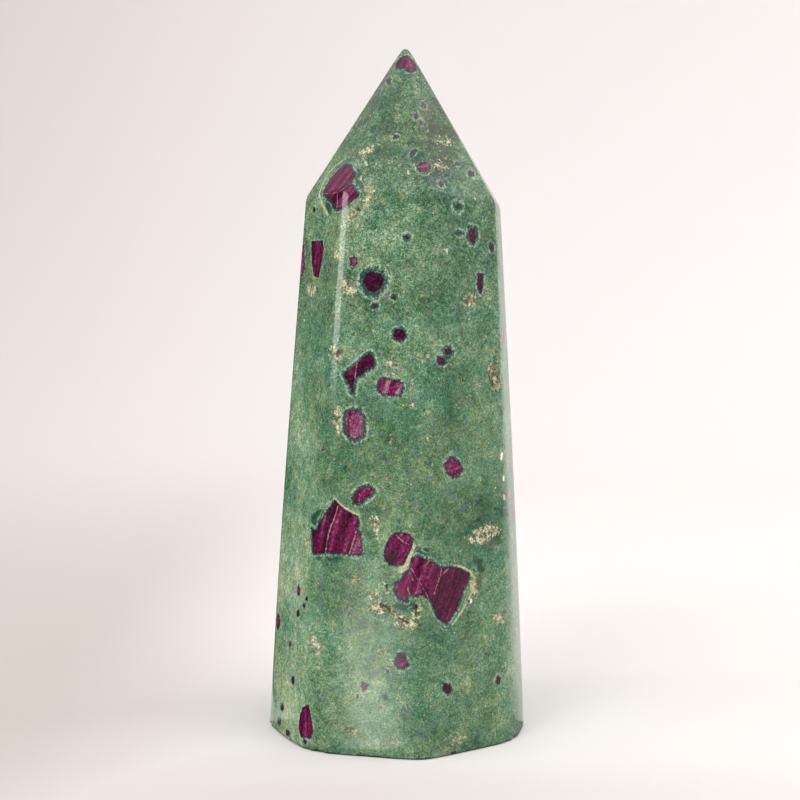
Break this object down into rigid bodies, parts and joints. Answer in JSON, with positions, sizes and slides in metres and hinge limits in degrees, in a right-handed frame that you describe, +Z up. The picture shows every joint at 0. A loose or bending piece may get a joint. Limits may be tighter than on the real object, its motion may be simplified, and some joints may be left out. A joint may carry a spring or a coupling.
{
  "type": "ruby fuchsite point",
  "caption": "Polished green and ruby-red stone tower with eight tapering sides, a faceted pointed crown and a flat foot that it stands on.",
  "frame": {"origin": "middle of the flat foot, on the surface that the stone stands on", "axes": "+Z up to the tip, -Y towards the front, +X to the right seen from the front"},
  "size_m": [0.0418, 0.0402, 0.11],
  "materials": {
    "ruby_fuchsite": "polished"
  },
  "bodies": {
    "root": {"ruby_fuchsite_point": "ruby_fuchsite"}
  },
  "joints": []
}
